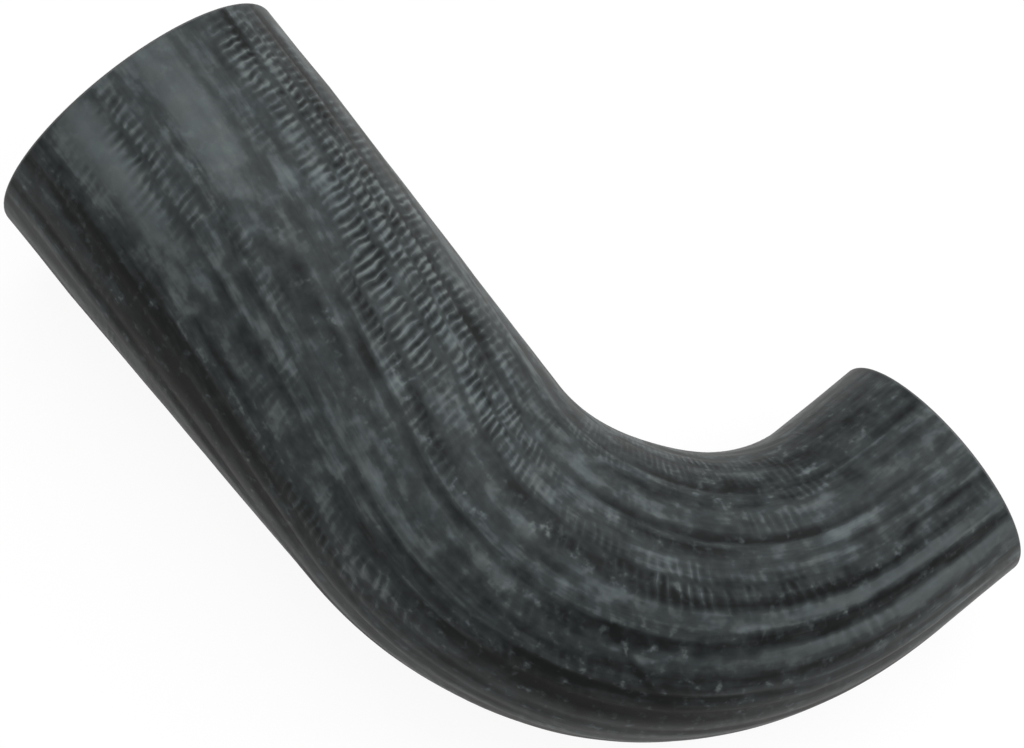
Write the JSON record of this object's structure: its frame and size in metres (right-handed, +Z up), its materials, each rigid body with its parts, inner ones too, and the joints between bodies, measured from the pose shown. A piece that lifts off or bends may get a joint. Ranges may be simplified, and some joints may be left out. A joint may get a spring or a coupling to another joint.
{
  "type": "intercooler hose, reducing 90 degree elbow",
  "caption": "Moulded rubber charge-air elbow hose, 90 degrees, narrowing from a 70 mm to a 51 mm bore, ends cut square.",
  "frame": {"origin": "middle of the footprint's box, on the floor that the hose lies on", "axes": "+X along the wide straight run, from the wide end towards the bend, to within 1.5 degrees; +Y towards the narrow end; +Z up from the floor"},
  "size_m": [0.2174, 0.1374, 0.0805],
  "materials": {
    "cover": "satin black rubber with the imprint of a cloth wrap"
  },
  "bodies": {
    "root": {"elbow_hose": "cover"}
  },
  "joints": []
}
